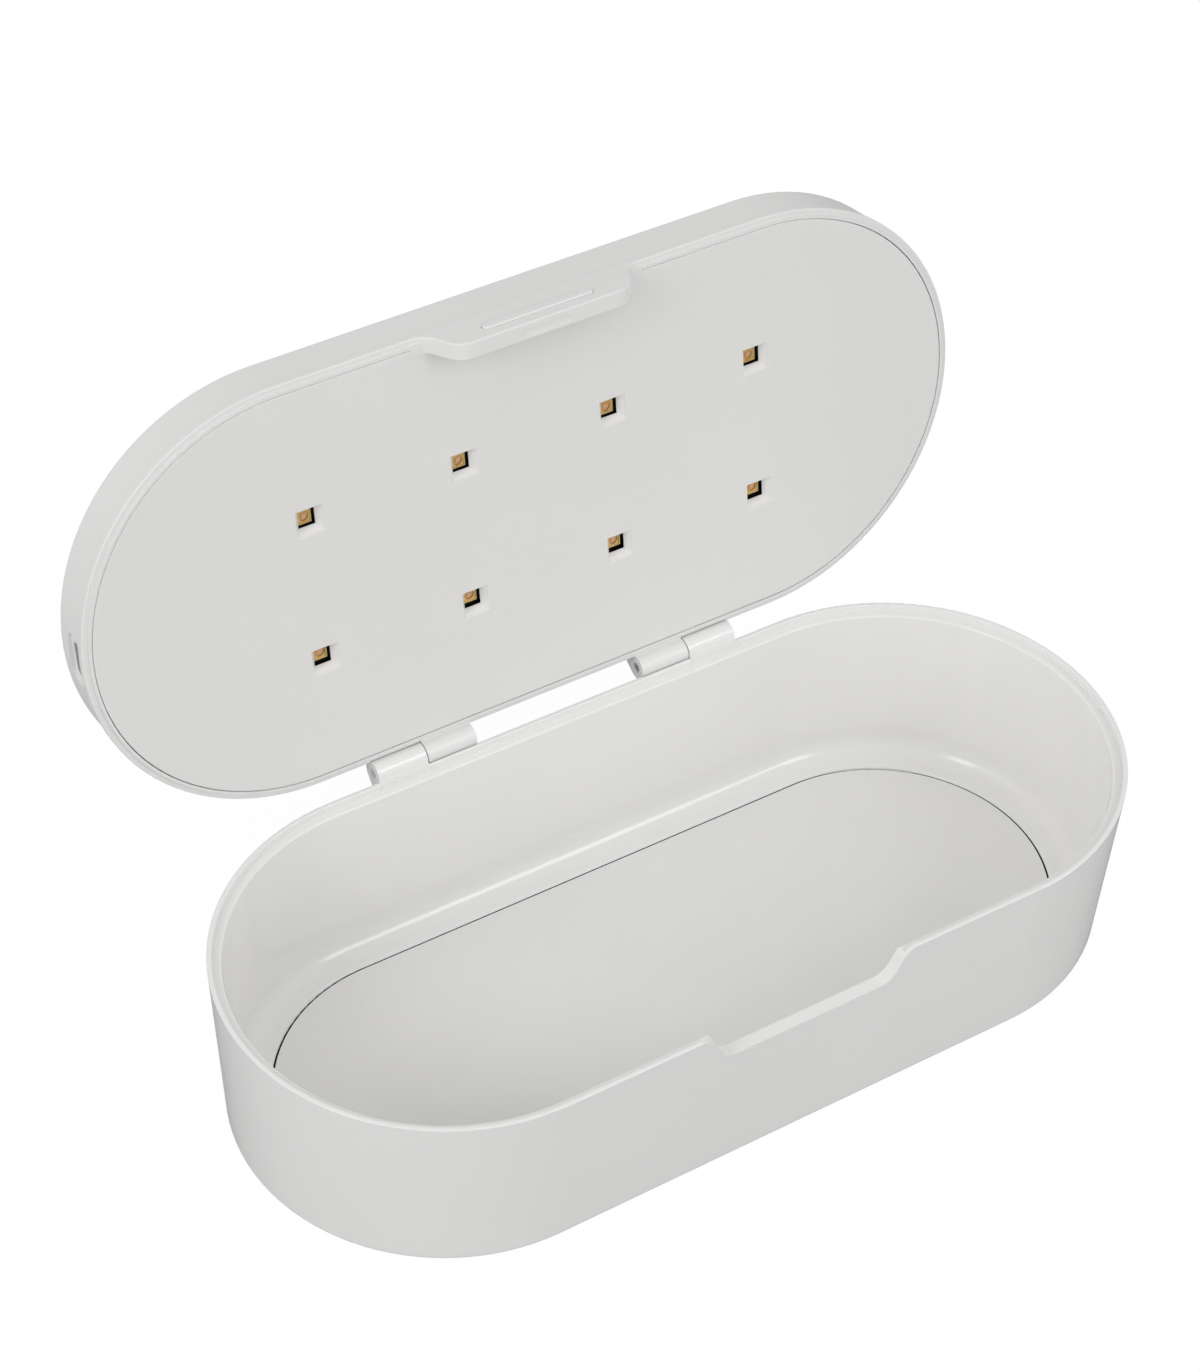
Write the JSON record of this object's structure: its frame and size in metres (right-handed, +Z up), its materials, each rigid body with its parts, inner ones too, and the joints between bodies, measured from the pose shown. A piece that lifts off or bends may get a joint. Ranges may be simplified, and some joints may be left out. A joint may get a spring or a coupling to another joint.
{
  "type": "nail tool sterilizer box",
  "caption": "Long rounded storage box with a hinged lid; ultraviolet lamps in the lid's inner panel treat the tools laid in the tub, worked by a button on the lid's front tab.",
  "frame": {"origin": "centre of the tub's flat bottom face, on the surface the box stands on", "axes": "+X along the box's length, away from the charging socket; +Y from the front with the tab's notch to the hinges at the back; +Z up"},
  "size_m": [0.233, 0.1391, 0.1574],
  "materials": {
    "tub_plastic": "satin white, moulded",
    "floor_plastic": "satin white, moulded",
    "lid_plastic": "satin white, moulded",
    "panel_plastic": "fine satin white, moulded",
    "button_plastic": "satin white, moulded",
    "magnet_cap": "white lacquer",
    "magnet_metal": "nickel plated",
    "pin_steel": "drawn",
    "screw_steel": "zinc plated",
    "dome_steel": "bright",
    "socket_steel": "nickel plated",
    "board_black": "black solder resist",
    "board_green": "green solder resist",
    "lamp_ceramic": "gold-plated ceramic",
    "lamp_glass": "clear quartz",
    "lamp_chip": "bare chip",
    "chip_black": "moulded",
    "coil_ferrite": "sintered",
    "can_aluminium": "bright",
    "cell_foil": "silver foil pouch",
    "tape_foam": "foam tape",
    "wire_red": "insulated",
    "wire_black": "insulated",
    "flex_amber": "flexible film"
  },
  "bodies": {
    "base": {"base_tub": "tub_plastic", "floor_plate": "floor_plastic", "base_magnet": "magnet_metal", "hinge_pin_right": "pin_steel", "hinge_pin_left": "pin_steel"},
    "lid": {"lid_shell": "lid_plastic", "tab_cover": "lid_plastic", "lid_magnet": "magnet_cap", "button_board": "board_green", "dome_switch": "dome_steel", "hall_sensor": "chip_black", "led_panel": "panel_plastic", "led_board": "board_black", "led_packages": "lamp_ceramic", "led_glass": "lamp_glass", "led_chips": "lamp_chip", "board_screws": "screw_steel", "control_board": "board_green", "control_screws": "screw_steel", "control_chip": "chip_black", "boost_coil": "coil_ferrite", "charge_capacitor": "can_aluminium", "usb_socket": "socket_steel", "usb_tongue": "chip_black", "battery": "cell_foil", "battery_tape": "tape_foam", "battery_lead": "wire_red", "led_lead": "wire_black", "button_lead": "flex_amber"},
    "button": {"power_button": "button_plastic"}
  },
  "joints": [
    {"name": "lid_hinge", "type": "hinge", "parent": "base", "child": "lid", "pos_m": [0, 0.0566, 0.04715], "axis": [1, 0, 0], "range_deg": [0, 98.5]},
    {"name": "button_press", "type": "slide", "parent": "lid", "child": "button", "axis": [0, -0.1478, -0.989], "range_m": [0, 0.00035], "stiffness_N_per_m": 1500}
  ]
}
